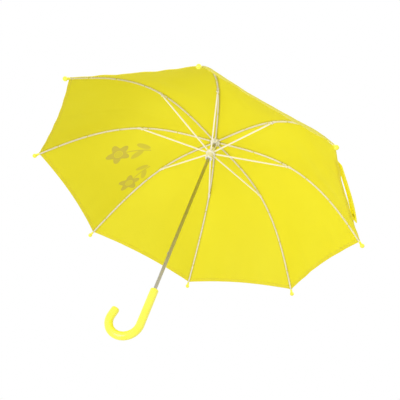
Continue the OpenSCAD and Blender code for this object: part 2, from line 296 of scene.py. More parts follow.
@dataclass(frozen=True)
class Cloth:
    """Thin woven polyester that lets light through.

    Scales are in features per metre. The tints, and the heights of weave, creases and folds, are shares.
    """

    lit: Colour = (0.88, 0.835, 0.055)
    deep: Colour = (0.86, 0.80, 0.045)
    doubled: Colour = (0.85, 0.75, 0.03)
    print_tone: Colour = (0.64, 0.54, 0.05)
    glow: Colour = (0.87, 0.82, 0.05)
    ink_stop: float = 0.8
    double_tints: tuple[float, float] = (0.75, 0.25)
    double_stop: float = 0.2
    heights: tuple[float, float, float] = (0.35, 0.4, 0.6)
    roughness: float = 0.5
    sheen: tuple[float, float] = (0.15, 0.4)
    hem: float = 9.0 * MM
    seam: float = 5.0 * MM
    weave_rate: float = 2600.0
    cloud_scale: float = 7.0
    crease_scale: float = 42.0
    bump_depth: float = 0.25 * MM
    edge_blur: float = 0.3 * MM
    through: float = 0.62

    def build(self) -> bpy.types.Material:
        """Makes the cloth: weave, seams, hems, a printed pattern and soft creases.

        Returns:
            The material.
        """
        s = Shader("canopy_cloth")
        strip = s.uv("strip")
        plan = s.uv("plan")
        off_rib, from_hem, _ = s.xyz(strip)
        broad = s.noise(plan, self.cloud_scale, 3.0)
        colour = s.mix(broad.ramp(0.35, 0.7), self.deep, self.lit)
        hem = 1.0 - from_hem.ramp(self.hem - self.edge_blur, self.hem + self.edge_blur)
        seam = 1.0 - abs(off_rib).ramp(self.seam - self.edge_blur, self.seam + self.edge_blur)
        double = hem.math("MAXIMUM", seam)
        at_hem, at_seam = self.double_tints
        colour = s.mix((hem * at_hem).math("MAXIMUM", seam * at_seam), colour, self.doubled)
        print_mask = self.blossoms(s, plan)
        colour = s.mix(print_mask, colour, self.print_tone)
        weave = s.weave(*s.xyz(plan)[:2], self.weave_rate)
        creases = s.noise(plan, self.crease_scale, 4.0)
        fine, soft, raised = self.heights
        height = weave * fine + creases * soft + double * raised
        normal = s.bump(height, self.bump_depth, 0.6)
        rough = broad * 0.1 + self.roughness
        weight, spread = self.sheen
        base = s.principled(
            Base_Color=colour, Roughness=rough, Normal=normal, Sheen_Weight=weight, Sheen_Roughness=spread
        )
        through = s.node("ShaderNodeBsdfTranslucent", {}, {"Color": rgba(self.glow), "Normal": normal})
        factor = (1.0 - print_mask * self.ink_stop) * (self.through - double * self.double_stop)
        return s.finish(s.node("ShaderNodeMixShader", {}, factor, base, through))

    def blossoms(self, s: Shader, plan: Sock) -> Sock:
        """Plain printed blossoms on stems, side by side on the front gores.

        Args:
            s: the shader.
            plan: the cloth's plan coordinates.

        Returns:
            The print's mask.
        """
        mask: Sock | None = None
        for blossom in BLOSSOMS:
            drawn = blossom.draw(s, plan)
            mask = drawn if mask is None else mask.math("MAXIMUM", drawn)
        return mask


@dataclass(frozen=True)
class Blossom:
    """One printed flower with a stem and two leaves, in plan coordinates and shares of its size."""

    azimuth: float
    distance: float
    size: float
    lean: float
    petals: int = 5
    leaf_turn: float = math.radians(30.0)
    leaf_halves: tuple[float, float] = (0.62, 0.24)
    petal_edge: tuple[float, float] = (0.75, 0.2)
    eye: float = 0.24
    ring: float = 0.3
    stem_half: float = 0.055
    stem_bend: float = 0.05
    stem_span: tuple[float, float] = (-2.6, -0.5)

    def draw(self, s: Shader, plan: Sock) -> Sock:
        """Draws the flower.

        Args:
            s: the shader.
            plan: the cloth's plan coordinates.

        Returns:
            1 inside the print and 0 outside.
        """
        turn = math.radians(self.azimuth)
        centre = (self.distance * math.cos(turn), self.distance * math.sin(turn), 0.0)
        settings = {"vector_type": "POINT"}
        moved = s.node("ShaderNodeVectorMath", {"operation": "SUBTRACT"}, plan, centre)
        spun = {
            "Vector": moved,
            "Rotation": (0.0, 0.0, -turn - math.radians(self.lean)),
            "Scale": (1 / self.size,) * 3,
        }
        x, y, _ = s.xyz(s.node("ShaderNodeMapping", settings, spun))
        reach = (x * x + y * y).math("SQRT")
        angle = y.math("ARCTAN2", x)
        edge, wave = self.petal_edge
        petals = reach < (angle * float(self.petals)).math("COSINE") * wave + edge
        eye = reach < self.eye
        ring = 1.0 - abs(reach - self.ring).ramp(0.0, 0.06)
        far, near = self.stem_span
        stem = (abs(y + x * x * self.stem_bend) < self.stem_half) * (x < near) * (x > far)
        leaves = self.leaf(x, y, 1.0).math("MAXIMUM", self.leaf(x, y, -1.0))
        flower = petals * (1.0 - ring * 0.85) * (1.0 - eye * 0.45)
        return flower.math("MAXIMUM", (stem * 0.8).math("MAXIMUM", leaves * 0.7))

    def leaf(self, x: Sock, y: Sock, side: float) -> Sock:
        """One leaf beside the stem.

        Args:
            x: outward from the flower, in flower sizes.
            y: sideways from the flower, in flower sizes.
            side: +1 or -1.

        Returns:
            1 inside the leaf.
        """
        turn = side * self.leaf_turn
        half_length, half_width = self.leaf_halves
        out, off = x + (1.75 + 0.3 * side), y + (0.14 - side * 0.36)
        along = (out * math.cos(turn) + off * math.sin(turn)) / half_length
        across = (off * math.cos(turn) - out * math.sin(turn)) / half_width
        return (along * along + across * across) < 1.0


BLOSSOMS = (
    Blossom(azimuth=-8.0, distance=0.262, size=0.030, lean=8.0),
    Blossom(azimuth=-30.0, distance=0.285, size=0.026, lean=-12.0),
)


@dataclass(frozen=True)
class Moulded:
    """Injection-moulded plastic with faint flow marks."""

    name: str
    colour: Colour
    shade: Colour
    roughness: float
    coat: float
    flow_scale: float = 45.0
    bump_depth: float = 0.05 * MM

    def build(self) -> bpy.types.Material:
        """Makes the plastic.

        Returns:
            The material.
        """
        s = Shader(self.name)
        place = s.place()
        flow = s.noise(place, self.flow_scale, 2.0)
        colour = s.mix(flow.ramp(0.3, 0.75), self.shade, self.colour)
        rough = flow * 0.12 + (self.roughness - 0.05)
        normal = s.bump(flow, self.bump_depth, 0.2)
        return s.finish(
            s.principled(
                Base_Color=colour,
                Roughness=rough,
                Normal=normal,
                Coat_Weight=self.coat,
                Coat_Roughness=0.08,
            )
        )


@dataclass(frozen=True)
class Metal:
    """Plated or drawn steel, brushed along one axis."""

    name: str
    colour: Colour
    roughness: float
    stretch: float = 0.04
    line_scale: float = 2400.0
    stain_scale: float = 38.0
    stain_share: float = 0.72
    bump_depth: float = 0.004 * MM

    def build(self) -> bpy.types.Material:
        """Makes the metal.

        Returns:
            The material.
        """
        s = Shader(self.name)
        settings = {"vector_type": "POINT"}
        drawn = {"Vector": s.place(), "Scale": (1.0, 1.0, self.stretch)}
        place = s.node("ShaderNodeMapping", settings, drawn)
        lines = s.noise(place, self.line_scale, 3.0)
        stain = s.noise(s.place(), self.stain_scale, 4.0)
        dark = tuple(self.stain_share * part for part in self.colour)
        colour = s.mix(stain.ramp(0.45, 0.8) * 0.5, self.colour, dark)
        rough = lines * 0.1 + stain * 0.12 + (self.roughness - 0.1)
        normal = s.bump(lines, self.bump_depth, 0.3)
        return s.finish(
            s.principled(Base_Color=colour, Metallic=1.0, Roughness=rough, Normal=normal)
        )


@dataclass(frozen=True)
class Enamel:
    """Baked cream paint on steel channels, thinner where it has been rubbed."""

    colour: Colour = (0.93, 0.88, 0.79)
    worn: Colour = (0.72, 0.62, 0.52)
    rubbed: Colour = (0.92, 0.83, 0.74)
    patch_scale: float = 90.0
    speck_scale: float = 900.0
    bump_depth: float = 0.04 * MM

    def build(self) -> bpy.types.Material:
        """Makes the paint.

        Returns:
            The material.
        """
        s = Shader("rib_paint")
        place = s.place()
        patch = s.noise(place, self.patch_scale, 4.0)
        speck = s.noise(place, self.speck_scale, 3.0)
        colour = s.mix(speck.ramp(0.62, 0.75) * 0.4, self.colour, self.worn)
        colour = s.mix(patch.ramp(0.35, 0.8) * 0.18, colour, self.rubbed)
        rough = patch * 0.15 + 0.28
        normal = s.bump(speck, self.bump_depth, 0.4)
        return s.finish(
            s.principled(Base_Color=colour, Roughness=rough, Normal=normal, Coat_Weight=0.2)
        )


@dataclass(frozen=True)
class Thread:
    """Twisted sewing thread."""

    name: str
    colour: Colour
    twist_scale: float = 3000.0
    bump_depth: float = 0.05 * MM

    def build(self) -> bpy.types.Material:
        """Makes the thread.

        Returns:
            The material.
        """
        s = Shader(self.name)
        place = s.place()
        twist = s.noise(place, self.twist_scale, 2.0)
        colour = s.mix(twist, tuple(0.8 * part for part in self.colour), self.colour)
        normal = s.bump(twist, self.bump_depth, 0.8)
        return s.finish(s.principled(Base_Color=colour, Roughness=0.7, Normal=normal))


@dataclass(frozen=True)
class Webbing:
    """Folded cloth of the tie strap, seen with light through it."""

    colour: Colour = (0.93, 0.88, 0.07)
    fold: Colour = (0.90, 0.83, 0.05)
    weave_rate: float = 1500.0
    cloud_scale: float = 30.0
    bump_depth: float = 0.2 * MM
    through: float = 0.68

    def build(self) -> bpy.types.Material:
        """Makes the strap's cloth.

        Returns:
            The material.
        """
        s = Shader("strap_webbing")
        place = s.place()
        x, y, z = s.xyz(place)
        broad = s.noise(place, self.cloud_scale, 3.0)
        weave = s.weave(x + z, y - z, self.weave_rate)
        colour = s.mix(broad.ramp(0.3, 0.75), self.fold, self.colour)
        rough = broad * 0.15 + 0.55
        normal = s.bump(weave * 0.5 + broad * 0.5, self.bump_depth, 0.7)
        base = s.principled(Base_Color=colour, Roughness=rough, Normal=normal, Sheen_Weight=0.2)
        through = s.node("ShaderNodeBsdfTranslucent", {}, {"Color": rgba(self.colour), "Normal": normal})
        return s.finish(s.node("ShaderNodeMixShader", {}, self.through, base, through))


@dataclass(frozen=True)
class Backdrop:
    """Matt paper of the floor."""

    colour: Colour = (0.82, 0.82, 0.81)
    roughness: float = 0.95

    def build(self) -> bpy.types.Material:
        """Makes the paper."""
        s = Shader("floor_paper")
        return s.finish(s.principled(Base_Color=self.colour, Roughness=self.roughness))


# ---------------------------------------------------------------------------------------------------
# Meshes
# ---------------------------------------------------------------------------------------------------


def level(azimuth: float) -> Vector:
    """The level direction at an azimuth."""
    return Vector((math.cos(azimuth), math.sin(azimuth), 0.0))


def upright(direction: Vector, flat: Vector) -> Vector:
    """A place given as (distance from the axis, height) in the upright plane of a direction."""
    return direction * flat.x + UP * flat.y


def new_mesh(
    name: str, points: Sequence[Sequence[float]], faces: Sequence[Sequence[int]], smooth: bool = True
) -> bpy.types.Object:
    """Makes an object from points and faces.

    Args:
        name: the object's name.
        points: the vertices, in the row frame.
        faces: lists of vertex numbers.
        smooth: whether its faces are shaded smooth.

    Returns:
        The object, linked to the scene.
    """
    mesh = bpy.data.meshes.new(name)
    mesh.from_pydata([tuple(p) for p in points], [], [tuple(f) for f in faces])
    mesh.update()
    if smooth:
        mesh.shade_smooth()
    obj = bpy.data.objects.new(name, mesh)
    bpy.context.scene.collection.objects.link(obj)
    return obj


def dress(obj: bpy.types.Object, material: bpy.types.Material) -> None:
    """Gives every face of a piece one material."""
    obj.data.materials.clear()
    obj.data.materials.append(material)


class Tree:
    """A node tree with named inputs that makes one kind of repeated thing, built by calls."""

    def __init__(self, name: str, sizes: Sequence[str]) -> None:
        """Makes the tree with its inputs: the geometry, the sizes and the material.

        Args:
            name: the tree's name.
            sizes: the names of its number inputs.
        """
        self.tree = bpy.data.node_groups.new(name, "GeometryNodeTree")
        face = self.tree.interface
        face.new_socket("Geometry", in_out="INPUT", socket_type="NodeSocketGeometry")
        face.new_socket("Geometry", in_out="OUTPUT", socket_type="NodeSocketGeometry")
        kinds = {**dict.fromkeys(sizes, "NodeSocketFloat"), "Material": "NodeSocketMaterial"}
        self.sockets = {
            key: face.new_socket(key, in_out="INPUT", socket_type=kind).identifier
            for key, kind in kinds.items()
        }
        self.inlet = self.tree.nodes.new("NodeGroupInput")

    def given(self, name: str) -> bpy.types.NodeSocket:
        """One of the tree's inputs."""
        return self.inlet.outputs[name]

    def node(self, kind: str, out: str, values: dict[str, Any], **settings: Any) -> bpy.types.NodeSocket:
        """Adds a node.

        Args:
            kind: the node's type.
            out: the output to return.
            values: what to set or link, by input.
            settings: the node's own settings, which are set first.

        Returns:
            The chosen output.
        """
        made = self.tree.nodes.new(kind)
        for key, value in settings.items():
            setattr(made, key, value)
        for key, value in values.items():
            if isinstance(value, bpy.types.NodeSocket):
                self.tree.links.new(value, made.inputs[key])
            else:
                made.inputs[key].default_value = value
        return made.outputs[out]

    def turned(self, way: bpy.types.NodeSocket) -> bpy.types.NodeSocket:
        """The turn that lays a shape's height along a way."""
        return self.node("FunctionNodeAlignRotationToVector", "Rotation", {"Vector": way}, axis="Z")

    def set_on(
        self, points: bpy.types.NodeSocket, shape: bpy.types.NodeSocket, way: bpy.types.NodeSocket
    ) -> None:
        """Sets the shape on each point, realises it, paints it and ends the tree.

        Args:
            points: where the shapes go.
            shape: the shape.
            way: the way that each one faces.
        """
        values = {"Points": points, "Instance": shape, "Rotation": self.turned(way)}
        placed = self.node("GeometryNodeInstanceOnPoints", "Instances", values)
        real = self.node("GeometryNodeRealizeInstances", "Geometry", {"Geometry": placed})
        values = {"Geometry": real, "Material": self.given("Material")}
        painted = self.node("GeometryNodeSetMaterial", "Geometry", values)
        self.tree.links.new(painted, self.tree.nodes.new("NodeGroupOutput").inputs["Geometry"])

    def run(
        self, mesh: bpy.types.Mesh, sizes: dict[str, float], material: bpy.types.Material
    ) -> bpy.types.Object:
        """Runs the tree on a mesh and keeps the result as a plain mesh.

        Args:
            mesh: the points or lines, with the piece's name.
            sizes: the number inputs' values.
            material: the piece's finish.

        Returns:
            The piece.
        """
        obj = bpy.data.objects.new(mesh.name, mesh)
        bpy.context.scene.collection.objects.link(obj)
        modifier = obj.modifiers.new(self.tree.name, "NODES")
        modifier.node_group = self.tree
        for key, value in {**sizes, "Material": material}.items():
            modifier[self.sockets[key]] = value
        graph = bpy.context.evaluated_depsgraph_get()
        plain = bpy.data.meshes.new_from_object(obj.evaluated_get(graph))
        obj.modifiers.clear()
        obj.data = plain
        dress(obj, material)
        return obj


def sweep(
    name: str, path: Sequence[Vector], radii: Sequence[float], side: Vector, sides: int = 24
) -> bpy.types.Object:
    """Sweeps a circle along a flat path and closes its ends.

    Args:
        name: the object's name.
        path: the centre line.
        radii: a radius for each point.
        side: the normal of the path's plane.
        sides: points round the circle.

    Returns:
        The object.
    """
    points: list[Vector] = []
    for index, centre in enumerate(path):
        ahead = path[min(index + 1, len(path) - 1)] - path[max(index - 1, 0)]
        across = side.cross(ahead.normalized()).normalized()
        for turn in range(sides):
            angle = math.tau * turn / sides
            points.append(centre + radii[index] * (math.cos(angle) * across + math.sin(angle) * side))
    faces: list[list[int]] = []
    for ring in range(len(path) - 1):
        for turn in range(sides):
            a, b = ring * sides + turn, ring * sides + (turn + 1) % sides
            faces.append([a, b, b + sides, a + sides])
    last = (len(path) - 1) * sides
    faces.append(list(range(sides - 1, -1, -1)))
    faces.append([last + turn for turn in range(sides)])
    return new_mesh(name, points, faces)


# ---------------------------------------------------------------------------------------------------
# The folding frame's geometry
# ---------------------------------------------------------------------------------------------------


class Part(Enum):
    """The two parts of a rib and of the cloth on it."""

    INNER = "inner"
    OUTER = "outer"


@dataclass
class RibLine:
    """The centre line of a sprung rib in its own upright plane, as (distance from the axis, height)."""

    crown: Vector
    joint: Vector
    outer_length: float = 288.0 * MM
    joint_slope: float = math.radians(18.7)
    outer_slope: float = math.radians(39.3)
    joint_drop: float = 3.0 * MM

    def __post_init__(self) -> None:
        """Works out the bends from the slopes."""
        reach = self.joint - self.crown
        self.inner_length = reach.length
        self.inner_slope = math.atan2(-reach.y, reach.x)
        rise = self.inner_length * math.tan(self.joint_slope - self.inner_slope)
        self.inner_bend = (rise + self.joint_drop) / 2
        self.outer_bend = self.outer_length / 2 * math.tan(self.outer_slope - self.joint_slope)
        self.over_joint = self.along(self.joint, self.inner_slope, 0.0, self.joint_drop)

    @staticmethod
    def along(start: Vector, slope: float, x: float, y: float) -> Vector:
        """A point x along and y above a line that leaves start at a downward slope."""
        down, up = math.sin(slope), math.cos(slope)
        return Vector((start.x + x * up + y * down, start.y - x * down + y * up))

    def inner(self, share: float, off: float = 0.0) -> Vector:
        """A point of the inner part.

        Args:
            share: 0 at the crown and 1 at the joint.
            off: distance above the centre line.

        Returns:
            The point.
        """
        rise = self.joint_drop * share + self.inner_bend * (share - share**3)
        steep = (self.joint_drop + self.inner_bend * (1 - 3 * share**2)) / self.inner_length
        turn = math.atan(steep)
        x = self.inner_length * share - off * math.sin(turn)
        return self.along(self.crown, self.inner_slope, x, rise + off * math.cos(turn))

    def outer(self, share: float, off: float = 0.0) -> Vector:
        """A point of the outer part.

        Args:
            share: 0 at the joint and 1 at the ball's centre.
            off: distance above the centre line.

        Returns:
            The point.
        """
        left = 1 - share
        rise = self.outer_bend * (left - left**3)
        turn = math.atan(self.outer_bend * (3 * left**2 - 1) / self.outer_length)
        x = self.outer_length * share - off * math.sin(turn)
        return self.along(self.over_joint, self.outer_slope, x, rise + off * math.cos(turn))


@dataclass
class Frame:
    """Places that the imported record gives."""

    line: RibLine
    first: float

    @classmethod
    def read(cls, joints: Sequence[dict[str, Any]]) -> Frame:
        """Reads the pivots of rib 0.

        Args:
            joints: the record's joints.

        Returns:
            The frame's geometry.
        """
        places = {joint["name"]: Vector(joint["pos_m"]) for joint in joints}
        crown, joint = places["canopy_fold"], places["outer_hinge_0"]
        flat = [Vector((math.hypot(p.x, p.y), p.z)) for p in (crown, joint)]
        return cls(RibLine(*flat), math.atan2(joint.y, joint.x))

    def azimuth(self, rib: int) -> float:
        """The azimuth of a rib."""
        return self.first + rib * STEP

    def outward(self, rib: int) -> Vector:
        """The level direction from the axis to a rib."""
        return level(self.azimuth(rib))

    def across(self, rib: int) -> Vector:
        """The level direction square to a rib's plane."""
        return UP.cross(self.outward(rib))

    def curve(self, part: Part) -> tuple[Callable[..., Vector], float]:
        """A rib part's centre line and its length.

        Args:
            part: the inner or outer part.

        Returns:
            The function for its points, and its length.
        """
        if part is Part.INNER:
            return self.line.inner, self.line.inner_length
        return self.line.outer, self.line.outer_length

    @staticmethod
    def body(rib: int, part: Part) -> str:
        """The body that a rib's part is on."""
        return f"rib_{rib}" if part is Part.INNER else f"outer_{rib}"

    def fold_of(self, rib: int) -> str:
        """The name of a rib's joint on the crown."""
        return "canopy_fold" if rib == 0 else f"rib_hinge_{rib}"


# ---------------------------------------------------------------------------------------------------
# Stitching
# ---------------------------------------------------------------------------------------------------


@dataclass
class Stitching:
    """Rows of thread stitches that follow lines on the cloth, made by one node tree."""

    pitch: float = 3.2 * MM
    length: float = 2.3 * MM
    radius: float = 0.2 * MM
    sides: int = 6

    def __post_init__(self) -> None:
        """Makes the node tree: curves, points at a pitch, and a thread on each."""
        self.tree = tree = Tree("stitch_rows", ("Pitch", "Length", "Radius"))
        curve = tree.node("GeometryNodeMeshToCurve", "Curve", {"Mesh": tree.given("Geometry")})
        values = {"Curve": curve, "Length": tree.given("Pitch")}
        spaced = tree.node("GeometryNodeResampleCurve", "Curve", values, mode="LENGTH")
        values = {"Vertices": self.sides, "Radius": tree.given("Radius"), "Depth": tree.given("Length")}
        thread = tree.node("GeometryNodeMeshCylinder", "Mesh", values)
        tree.set_on(spaced, thread, tree.node("GeometryNodeInputTangent", "Tangent", {}))

    def sew(
        self, name: str, rows: Sequence[Sequence[Vector]], material: bpy.types.Material
    ) -> bpy.types.Object:
        """Sews one piece's rows of stitches.

        Args:
            name: the piece's name.
            rows: lines that the stitches follow.
            material: the thread.

        Returns:
            The stitches as a plain mesh.
        """
        points: list[Vector] = []
        edges: list[tuple[int, int]] = []
        for row in rows:
            start = len(points)
            points.extend(row)
            edges.extend((start + i, start + i + 1) for i in range(len(row) - 1))
        mesh = bpy.data.meshes.new(name)
        mesh.from_pydata([tuple(p) for p in points], edges, [])
        sizes = {"Pitch": self.pitch, "Length": self.length, "Radius": self.radius}
        return self.tree.run(mesh, sizes, material)


# ---------------------------------------------------------------------------------------------------
# Canopy
# ---------------------------------------------------------------------------------------------------


@dataclass
class Canopy:
    """Cloth that is tied along each rib and runs to the middle of the gores beside it.

    The slack is how much longer each part is cut than its rib, and the keeps are shares of the width that are
    handed to gather but not used, both for the inner part first. The fan is the creases that spread from each
    tip: their height is in shares of the crease.
    """

    frame: Frame
    lift: float = 1.9 * MM
    thickness: float = 0.3 * MM
    start: float = 4.2 * MM
    corner: float = 12.6 * MM
    hem_sag: float = 9.0 * MM
    hem_width: float = 9.0 * MM
    hem_thickness: float = 0.8 * MM
    dip: float = 4.5 * MM
    slack: tuple[float, float] = (1.01, 1.02)
    hem_cut: float = 0.99
    hem_span: float = 0.985
    hem_inset: float = 1.6 * MM
    crease: float = 1.1 * MM
    broad_waves: tuple[tuple[float, float], tuple[float, float]] = ((31.0, 1.3), (27.0, 0.4))
    fine_waves: tuple[float, float] = (44.0, 63.0)
    columns: int = 32
    inner_rows: int = 26
    outer_rows: int = 40
    keeps: tuple[float, float] = (0.15, 0.1)
    seam_half: float = 5.0 * MM
    seam_gap: float = 0.12 * MM
    seam_rings: int = 41
    seam_columns: int = 7
    seam_stitches: float = 0.62
    stitch_steps: int = 60
    seam_inner: tuple[float, float] = (0.1, 0.995)
    seam_outer: tuple[float, float] = (0.005, 0.96)
    no_hem: float = 1.0
    fullest: float = 0.55
    tip_pull: float = 0.5
    fan_reach: float = 75.0 * MM
    fan_height: float = 2.4
    fan_waves: float = 5.2

    def hem_back(self, share: float) -> float:
        """How far the hem stands back at a share of the way to the middle of a gore."""
        return self.hem_sag * (1 - (1 - share) ** 2)

    def outer_end(self, share: float) -> float:
        """The length of cloth past the joint at a share of the way to the middle of a gore."""
        return self.frame.line.outer_length - self.corner - self.hem_back(share)

    def point(self, rib: int, part: Part, length: float, share: float, off: float) -> Vector:
        """A point of the cloth.

        Args:
            rib: the rib that it is tied to.
            part: the inner or outer length.
            length: distance along the rib from the crown or the joint.
            share: -1 to 1 across, from the middle of one gore to the next.
            off: distance above the cloth's middle.

        Returns:
            The point in the row frame.
        """
        curve, whole = self.frame.curve(part)
        flat, ahead = (curve(length / whole + step, self.lift + off) for step in (0.0, 0.01))
        middle = math.copysign(HALF, share)
        angle = share * HALF
        reach = flat.x * math.cos(HALF) / math.cos(HALF - abs(angle))
        azimuth = self.frame.azimuth(rib)
        spot = level(azimuth + angle) * reach + UP * flat.y
        slope = math.atan2(flat.y - ahead.y, (ahead.x - flat.x) * math.cos(HALF))
        outward = level(azimuth + middle) * math.sin(slope) + UP * math.cos(slope)
        across = share * share * (3 - 2 * abs(share))
        push = -self.dip * self.swell(part, length) * across
        push += self.wrinkle(part, length, abs(share), spot)
        return spot + outward * push

    def swell(self, part: Part, length: float) -> float:
        """How much of the full sag the cloth has, from crown to hem.

        Args:
            part: the inner or outer length.
            length: distance along the rib.

        Returns:
            The share, 1 where the cloth sags most.
        """
        line = self.frame.line
        past = length if part is Part.INNER else line.inner_length + length
        whole = past / (line.inner_length + line.outer_length)
        if whole < self.fullest:
            return 1 - (1 - whole / self.fullest) ** 2
        return 1 - self.tip_pull * ((whole - self.fullest) / (1 - self.fullest)) ** 2

    def wrinkle(self, part: Part, length: float, share: float, spot: Vector) -> float:
        """Soft waves all over, and creases that fan out from each tip.

        Args:
            part: the inner or outer length.
            length: distance along the rib.
            share: 0 at the rib and 1 at the middle of the gore.
            spot: the place.

        Returns:
            The height, zero along the rib.
        """
        window = math.sin(math.pi * share / 2)
        (rate_x, start_x), (rate_y, start_y) = self.broad_waves
        soft = math.sin(rate_x * spot.x + start_x) * math.sin(rate_y * spot.y + start_y)
        rate_x, rate_y = self.fine_waves
        soft += 0.5 * math.sin(rate_y * spot.y - rate_x * spot.x)
        height = self.crease * window * soft
        if part is Part.OUTER:
            left = self.outer_end(share) - length
            fan = math.exp(-left / self.fan_reach) * (1 - share) * window
            height += self.fan_height * self.crease * fan * math.sin(self.fan_waves * math.pi * share)
        return height

    def lengths(self, part: Part, share: float) -> list[float]:
        """The rows' distances along the rib, with a step at the hem's fold.

        Args:
            part: the inner or outer length.
            share: 0 at the rib and 1 at the middle of the gore.

        Returns:
            The distances.
        """
        if part is Part.INNER:
            last = self.frame.line.inner_length
            step = (last - self.start) / self.inner_rows
            return [self.start + step * i for i in range(self.inner_rows + 1)]
        end = self.outer_end(share)
        fold = end - self.hem_width
        body = [fold * i / self.outer_rows for i in range(self.outer_rows + 1)]
        return [*body, fold + 0.4 * MM, (fold + end) / 2, end]

    def cloth(self, rib: int, part: Part) -> bpy.types.Object:
        """Makes one piece of cloth, two layers with a rim.

        Args:
            rib: the rib that it is tied to.
            part: the inner or outer length.

        Returns:
            The piece, with its UV maps.
        """
        shares = [2 * j / self.columns - 1 for j in range(self.columns + 1)]
        grids = {share: self.lengths(part, abs(share)) for share in shares}
        rows, cols = len(grids[0.0]), len(shares)
        points: list[Vector] = []
        from_hem: list[float] = []
        for layer in (0, 1):
            for row in range(rows):
                for share in shares:
                    length = grids[share][row]
                    left = self.outer_end(abs(share)) - length if part is Part.OUTER else self.no_hem
                    folded = left < self.hem_width - 0.1 * MM
                    under = self.hem_thickness if folded else self.thickness / 2
                    off = -under if layer else self.thickness / 2
                    points.append(self.point(rib, part, length, share, off))
                    from_hem.append(left)
        faces = self.shell_faces(rows, cols)
        obj = new_mesh(f"canopy_{part.value}_{rib}_cloth", points, faces)
        self.map_cloth(obj, rib, from_hem)
        obj.data.set_sharp_from_angle(angle=SHARP)
        return obj

    @staticmethod
    def shell_faces(rows: int, cols: int) -> list[list[int]]:
        """Faces of two layers of rows by cols points and the rim between them.

        Args:
            rows: rows in a layer.
            cols: columns in a layer.

        Returns:
            The faces, facing outwards.
        """
        layer = rows * cols
        faces = []
        for i in range(rows - 1):
            for j in range(cols - 1):
                a, b = i * cols + j, (i + 1) * cols + j
                faces.append([a, b, b + 1, a + 1])
                faces.append([a + layer, a + 1 + layer, b + 1 + layer, b + layer])
        for i in range(rows - 1):
            a, b = i * cols, (i + 1) * cols
            faces.append([a, a + layer, b + layer, b])
            a, b = a + cols - 1, b + cols - 1
            faces.append([a, b, b + layer, a + layer])
        for j in range(cols - 1):
            faces.append([j, j + 1, j + 1 + layer, j + layer])
            a = (rows - 1) * cols + j
            faces.append([a, a + layer, a + 1 + layer, a + 1])
        return faces

    def map_cloth(self, obj: bpy.types.Object, rib: int, from_hem: Sequence[float]) -> None:
        """Adds the plan map and the strip map, both in metres.

        Args:
            obj: the cloth.
            rib: its rib.
            from_hem: the distance to the hem for each vertex.
        """
        side = self.frame.across(rib)
        mesh = obj.data
        plan, edge = mesh.uv_layers.new(name="plan"), mesh.uv_layers.new(name="strip")
        for loop in mesh.loops:
            spot = mesh.vertices[loop.vertex_index].co
            plan.data[loop.index].uv = (spot.x, spot.y)
            edge.data[loop.index].uv = (spot.dot(side), from_hem[loop.vertex_index])

    def flat_size(self, part: Part) -> tuple[float, float, float]:
        """The width, length and area that a piece was cut to.

        Args:
            part: the inner or outer length.

        Returns:
            Width, length and area.
        """
        line = self.frame.line
        wide = [2 * p.x * math.sin(HALF) for p in (line.inner(0.0), line.inner(1.0), line.outer(1.0))]
        if part is Part.INNER:
            long = line.inner_length * self.slack[0]
            return wide[1], long, (wide[0] + wide[1]) / 2 * long
        long = line.outer_length * self.slack[1] - self.corner
        return wide[2], long, (wide[1] + wide[2]) / 2 * long * self.hem_cut

    def hem_rows(self, rib: int) -> list[list[Vector]]:
        """Lines of the hem's stitching, outside and inside.

        Args:
            rib: the rib.

        Returns:
            The two lines.
        """
        inset = self.hem_width - self.hem_inset
        rows = []
        for off in (self.thickness / 2, -self.hem_thickness):
            row = []
            for j in range(2 * self.columns + 1):
                share = (j / self.columns - 1) * self.hem_span
                length = self.outer_end(abs(share)) - inset
                row.append(self.point(rib, Part.OUTER, length, share, off))
            rows.append(row)
        return rows

    def seam_point(self, rib: int, part: Part, along: float, side: float, off: float) -> Vector:
        """A point of the felled seam over a rib.

        Args:
            rib: the rib.
            part: the inner or outer length.
            along: 0 to 1 from the crown or the joint to the end of the piece.
            side: -1 to 1 across the seam.
            off: distance above the cloth's outer face.

        Returns:
            The point.
        """
        curve, whole = self.frame.curve(part)
        first, last = (self.start, whole) if part is Part.INNER else (0.0, self.outer_end(0.0))
        length = first + (last - first) * along
        reach = curve(length / whole).x
        wide = min(self.seam_half, 0.8 * reach * math.tan(HALF))
        share = side * wide / reach / HALF
        return self.point(rib, part, length, share, self.thickness / 2 + off)

    def seam(self, rib: int, part: Part) -> bpy.types.Object:
        """The strip of doubled cloth where two panels meet over a rib.

        Args:
            rib: the rib.
            part: the inner or outer length.

        Returns:
            The strip, with its UV maps.
        """
        rows, cols = self.seam_rings, self.seam_columns
        points = []
        for off in (self.seam_gap + self.thickness, self.seam_gap):
            for row in range(rows):
                for col in range(cols):
                    side = 2 * col / (cols - 1) - 1
                    edge = self.seam_gap * 0.8 if abs(side) == 1 else 0.0
                    points.append(self.seam_point(rib, part, row / (rows - 1), side, off - edge))
        obj = new_mesh(f"canopy_{part.value}_{rib}_seam", points, self.shell_faces(rows, cols))
        self.map_cloth(obj, rib, [self.no_hem] * len(points))
        obj.data.set_sharp_from_angle(angle=SHARP)
        return obj

    def seam_rows(self, rib: int, part: Part) -> list[list[Vector]]:
        """Lines of the felled seam's stitching, on both sides of the rib.

        Args:
            rib: the rib.
            part: the inner or outer length.

        Returns:
            The two lines.
        """
        top = self.seam_gap + self.thickness
        first, last = self.seam_inner if part is Part.INNER else self.seam_outer
        steps = self.stitch_steps
        places = [first + (last - first) * i / steps for i in range(steps + 1)]
        return [
            [self.seam_point(rib, part, along, side, top) for along in places]
            for side in (-self.seam_stitches, self.seam_stitches)
        ]

